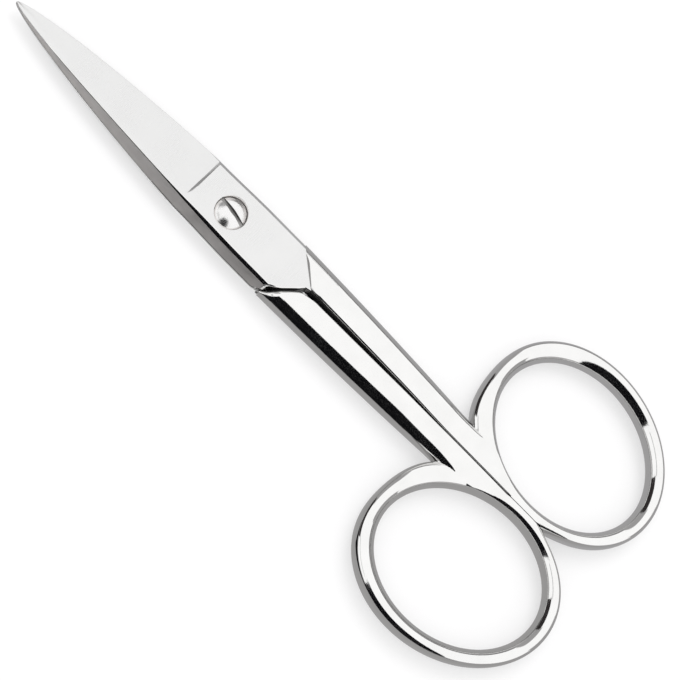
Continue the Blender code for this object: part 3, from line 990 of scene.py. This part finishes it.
studio = {
    "tableReach": 3.0,
    "floorColour": (0.92, 0.915, 0.92),
    "worldForTable": 1.06,
    "lampPower": 0.4,
    "lampColour": (1, 0.995, 1),
    "lampSize": 0.26,
    "lampDistance": 0.42,
    "lampRise": math.radians(60),
    "lampAhead": 0.06,
    "tentStrength": 1.27,       # the white tent over the scissors, as the metal sees it
    "tentRadius": 2.5,
    "tentCentre": (0, -0.01),
    "tentFrom": 9,              # degrees over the table where the grey below it ends
    "sheetStep": 0.0001,        # height of each sheet on the table over the one below it
    "shadowKept": 0.5,          # share of the shadow that the camera sees on the table
}
white = (1, 1, 1, 1)


def stageMaterial(name, colour, glow):
    material = bpy.data.materials.new(name)
    material.use_nodes = True
    tree = material.node_tree
    tree.nodes.clear()
    end = tree.nodes.new("ShaderNodeOutputMaterial")
    if glow is None:
        made = linked(tree, "ShaderNodeBsdfDiffuse", [("Color", (*colour, 1))])
    else:
        made = linked(tree, "ShaderNodeEmission", [("Color", (*colour, 1)), ("Strength", glow)])
    tree.links.new(made.outputs[0], end.inputs["Surface"])
    return material


def stagePiece(name, mesh, material, seenInMetalOnly):
    piece = bpy.data.objects.new(name, mesh)
    bpy.context.scene.collection.objects.link(piece)
    mesh.materials.append(material)
    if seenInMetalOnly:
        piece.visible_camera = False
        piece.visible_diffuse = False
        piece.visible_shadow = False
        piece.visible_transmission = False


def sheetMesh(name, corners, z):
    mesh = bpy.data.meshes.new(name)
    mesh.from_pydata([(x, y, z) for x, y in corners], [], [tuple(range(len(corners)))])
    return mesh


def squareCorners(reach):
    return [(-reach, -reach), (reach, -reach), (reach, reach), (-reach, reach)]


def domeMesh(name, centre, radius, azimuths, rises):
    # a piece of a dome round a point on the table, between two azimuths and two rises in degrees
    steps = 36
    points = []
    for k in range(steps + 1):
        rise = math.radians(rises[0] + (rises[1] - rises[0]) * k / steps)
        for i in range(steps + 1):
            around = math.radians(azimuths[0] + (azimuths[1] - azimuths[0]) * i / steps)
            x = centre[0] + radius * math.cos(around) * math.cos(rise)
            y = centre[1] + radius * math.sin(around) * math.cos(rise)
            points.append((x, y, radius * math.sin(rise)))
    faces = []
    for k in range(steps):
        for i in range(steps):
            first = k * (steps + 1) + i
            faces.append((first, first + 1, first + steps + 2, first + steps + 1))
    mesh = bpy.data.meshes.new(name)
    mesh.from_pydata(points, [], faces)
    return mesh


def seenShare(tree):
    # 1 for rays from the camera, from the metal or through glass, and 0 for those that light the table
    path = tree.nodes.new("ShaderNodeLightPath").outputs
    seen = path["Is Camera Ray"]
    for kind in ("Is Glossy Ray", "Is Transmission Ray"):
        both = linked(tree, "ShaderNodeMath", [(0, seen), (1, path[kind])], operation="ADD", use_clamp=True)
        seen = both.outputs[0]
    return seen


def fadeShadow(tree):
    # where the table is seen, plain white takes part of the paper's place
    inputs = [(0, seenShare(tree)), (1, 1 - studio["shadowKept"])]
    share = linked(tree, "ShaderNodeMath", inputs, operation="MULTIPLY").outputs[0]
    plain = linked(tree, "ShaderNodeEmission", [("Color", white), ("Strength", 1.0)]).outputs[0]
    paper = tree.nodes["Diffuse BSDF"].outputs[0]
    mixed = linked(tree, "ShaderNodeMixShader", [("Fac", share), (1, paper), (2, plain)])
    tree.links.new(mixed.outputs[0], tree.nodes["Material Output"].inputs["Surface"])


def setLamp():
    lampData = bpy.data.lights.new("keyLamp", "AREA")
    lampData.shape = "DISK"
    lampData.size = studio["lampSize"]
    lampData.energy = studio["lampPower"]
    lampData.color = studio["lampColour"]
    keyLamp = bpy.data.objects.new("keyLamp", lampData)
    bpy.context.scene.collection.objects.link(keyLamp)
    rise = studio["lampRise"]
    way = Vector((math.cos(rise), studio["lampAhead"], math.sin(rise))).normalized()
    keyLamp.location = way * studio["lampDistance"]
    keyLamp.rotation_euler = (-way).to_track_quat("-Z", "Y").to_euler()
    keyLamp.visible_glossy = False


def setWorld():
    # plain white where it is seen, a little stronger where it lights the table
    world = bpy.data.worlds.new("whiteRoom")
    bpy.context.scene.world = world
    world.use_nodes = True
    tree = world.node_tree
    tree.nodes.clear()
    inputs = [("Color", white), ("Strength", studio["worldForTable"])]
    lit = linked(tree, "ShaderNodeBackground", inputs).outputs[0]
    plain = linked(tree, "ShaderNodeBackground", [("Color", white), ("Strength", 1.0)]).outputs[0]
    mixed = linked(tree, "ShaderNodeMixShader", [("Fac", seenShare(tree)), (1, lit), (2, plain)])
    tree.links.new(mixed.outputs[0], tree.nodes.new("ShaderNodeOutputWorld").inputs["Surface"])


tablePaper = stageMaterial("tablePaper", studio["floorColour"], None)
stagePiece("tableTop", sheetMesh("tableTop", squareCorners(studio["tableReach"]), 0), tablePaper, False)
fadeShadow(tablePaper.node_tree)

# the tent and its dark and grey parts, which only the metal sees, as a product photographer sets them
screenColours = {
    "darkScreen": (0.004, 0.004, 0.005),
    "brownScreen": (0.032, 0.028, 0.028),
    "greyScreen": (0.41, 0.405, 0.405),
    "barScreen": (0.6, 0.6, 0.6),
    "dimScreen": (0.21, 0.205, 0.205),
    "paleScreen": (0.44, 0.435, 0.44),
}
screens = {name: stageMaterial(name, colour, 1) for name, colour in screenColours.items()}
screens["tentGlow"] = stageMaterial("tentGlow", (1, 1, 1), studio["tentStrength"])
# name, share of the tent's radius, azimuths, rises and material
tentPieces = (
    ("tentTop", 1.0, (0, 360), (studio["tentFrom"], 90), "tentGlow"),
    ("tentSkirt", 1.0, (0, 360), (0, studio["tentFrom"]), "greyScreen"),
    ("darkLeft", 0.97, (156, 221), (-8, 73), "darkScreen"),
    ("darkAhead", 0.97, (75, 115), (0, 36), "brownScreen"),
    ("greyAhead", 0.96, (48, 76), (0, 46), "greyScreen"),
    ("greyBehind", 0.96, (276, 306), (0, 30), "greyScreen"),
    ("dimRight", 0.96, (306, 408), (7, 16), "dimScreen"),
    ("windowBar", 0.96, (112, 150), (43, 50), "barScreen"),
)
for name, share, azimuths, rises, screen in tentPieces:
    mesh = domeMesh(name, studio["tentCentre"], studio["tentRadius"] * share, azimuths, rises)
    stagePiece(name, mesh, screens[screen], True)
# sheets on the table, from the lowest up: name, material and corners
tableSheets = (
    ("greyTable", "greyScreen", squareCorners(studio["tentRadius"])),
    ("paleTable", "paleScreen", [(0.0, 0.05), (2.4, 0.6), (2.4, -0.6), (0.0, -0.08)]),
    ("darkTable", "darkScreen", [
        (-0.0175, 0.02), (-0.0175, -0.020), (-0.034, -0.024), (-0.034, -0.06), (-2.4, -0.7), (-2.4, 0.7)]),
    # painted shade: the next sheet is dark under the shanks, seen only in the metal, where the table lies in
    # their shadow
    ("paintedShadeUnder", "darkScreen", [(-0.003, 0.002), (0.003, 0.002), (0.0012, -0.034), (-0.0012, -0.034)]),
)
for i, (name, screen, corners) in enumerate(tableSheets, start=1):
    stagePiece(name, sheetMesh(name, corners, studio["sheetStep"] * i), screens[screen], True)
setLamp()
setWorld()

shot = {
    "target": (-0.838, -18.32, 1.75),       # millimetres from the pivot
    "distance": 294.1,
    "tilt": math.radians(19.27),            # from straight above, towards the left
    "swing": math.radians(-7.02),
    "roll": math.radians(-44.61),
    "lens": 141.5,
}


def setCamera():
    aside = math.sin(shot["tilt"])
    swing = shot["swing"]
    away = Vector((-aside * math.cos(swing), -aside * math.sin(swing), math.cos(shot["tilt"])))
    plainRight = (-away).cross(Vector((0, 1, 0))).normalized()
    plainUp = plainRight.cross(-away)
    right = plainRight * math.cos(shot["roll"]) + plainUp * math.sin(shot["roll"])
    up = plainUp * math.cos(shot["roll"]) - plainRight * math.sin(shot["roll"])
    cameraData = bpy.data.cameras.new("photoCamera")
    cameraData.lens = shot["lens"]
    cameraData.sensor_width = 36
    cameraData.clip_start = 0.01
    cameraData.clip_end = 10
    photoCamera = bpy.data.objects.new("photoCamera", cameraData)
    bpy.context.scene.collection.objects.link(photoCamera)
    turn = Matrix((right, up, away)).transposed().to_4x4()
    place = toFrame @ (Vector(shot["target"]) + away * shot["distance"])
    photoCamera.matrix_world = Matrix.Translation(place) @ turn
    bpy.context.scene.camera = photoCamera


setCamera()
bpy.context.scene.view_settings.view_transform = "Standard"
print("table, light and camera set")
